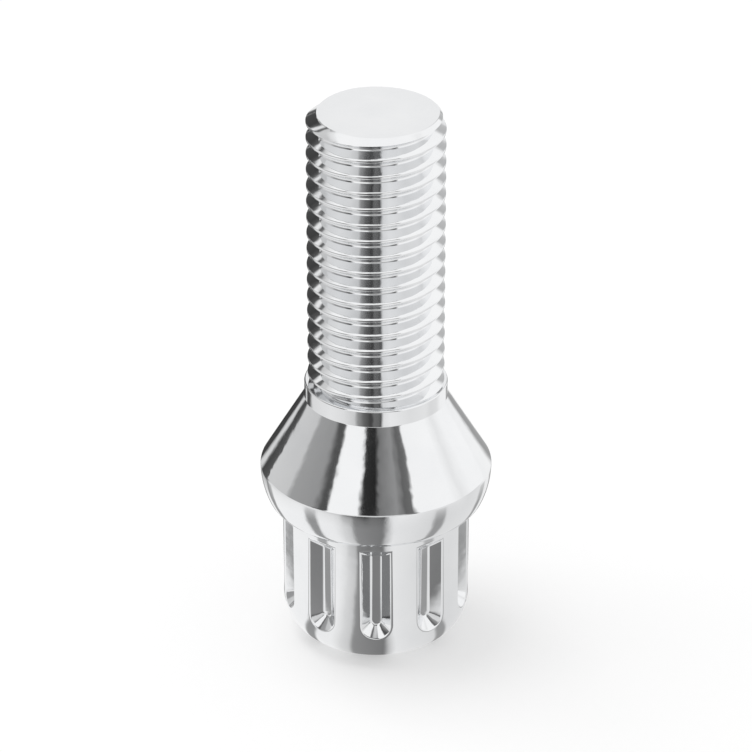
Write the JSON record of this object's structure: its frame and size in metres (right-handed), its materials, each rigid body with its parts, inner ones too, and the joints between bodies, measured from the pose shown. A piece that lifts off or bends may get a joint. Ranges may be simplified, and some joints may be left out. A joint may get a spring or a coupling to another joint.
{
  "type": "locking wheel bolt",
  "caption": "Chrome locking wheel bolt with a splined key head, a rounded shoulder, a tapered seat and a threaded shank.",
  "frame": {"origin": "centre of the head's flat end, which the bolt stands on", "axes": "+Z along the bolt from the head to the tip; -Y through the middle of one groove of the head"},
  "size_m": [0.0204, 0.0204, 0.0506],
  "materials": {
    "chrome": "mirror chrome plate"
  },
  "bodies": {
    "root": {"wheel_bolt": "chrome"}
  },
  "joints": []
}
